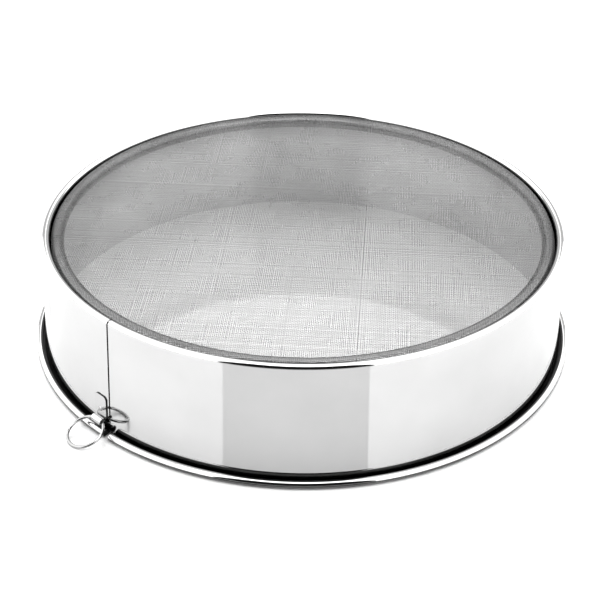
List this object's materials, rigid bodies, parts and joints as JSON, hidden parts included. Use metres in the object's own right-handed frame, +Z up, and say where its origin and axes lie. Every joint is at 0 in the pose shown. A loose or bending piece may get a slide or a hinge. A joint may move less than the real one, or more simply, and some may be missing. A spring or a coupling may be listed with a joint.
{
  "type": "drum sieve",
  "caption": "Round drum sieve of two nested tapered steel hoops with fine woven mesh stretched over one end, a rolled foot bead round the open mouth and a folding hanging ring.",
  "frame": {"origin": "on the drum's axis, in the plane of the open mouth and of the foot bead that it rests on", "axes": "+Z up along the drum's axis, from the open mouth to the mesh; -Y towards the hanging ring; the outer hoop's seam is just to the ring's +X side"},
  "size_m": [0.2758, 0.2899, 0.0616],
  "materials": {
    "hoop_sheet": "mirror-polished stainless steel sheet",
    "inner_sheet": "bright rolled stainless steel sheet, unpolished inside",
    "wire_mesh": "plain-woven fine stainless steel wire",
    "plain_wire": "drawn steel wire, hidden in the curl",
    "tab_sheet": "polished stainless steel sheet",
    "rivet_steel": "satin stainless steel",
    "ring_steel": "polished stainless steel wire"
  },
  "bodies": {
    "sieve": {"outer_hoop": "hoop_sheet", "inner_hoop": "inner_sheet", "mesh_screen": "wire_mesh", "rim_wire": "plain_wire", "ring_tab": "tab_sheet", "tab_rivet": "rivet_steel"},
    "ring": {"hanging_ring": "ring_steel"}
  },
  "joints": [
    {"name": "ring_fold", "type": "hinge", "parent": "sieve", "child": "ring", "pos_m": [0, -0.13504, 0.0067], "axis": [-1, 0, 0], "range_deg": [0, 112]}
  ]
}
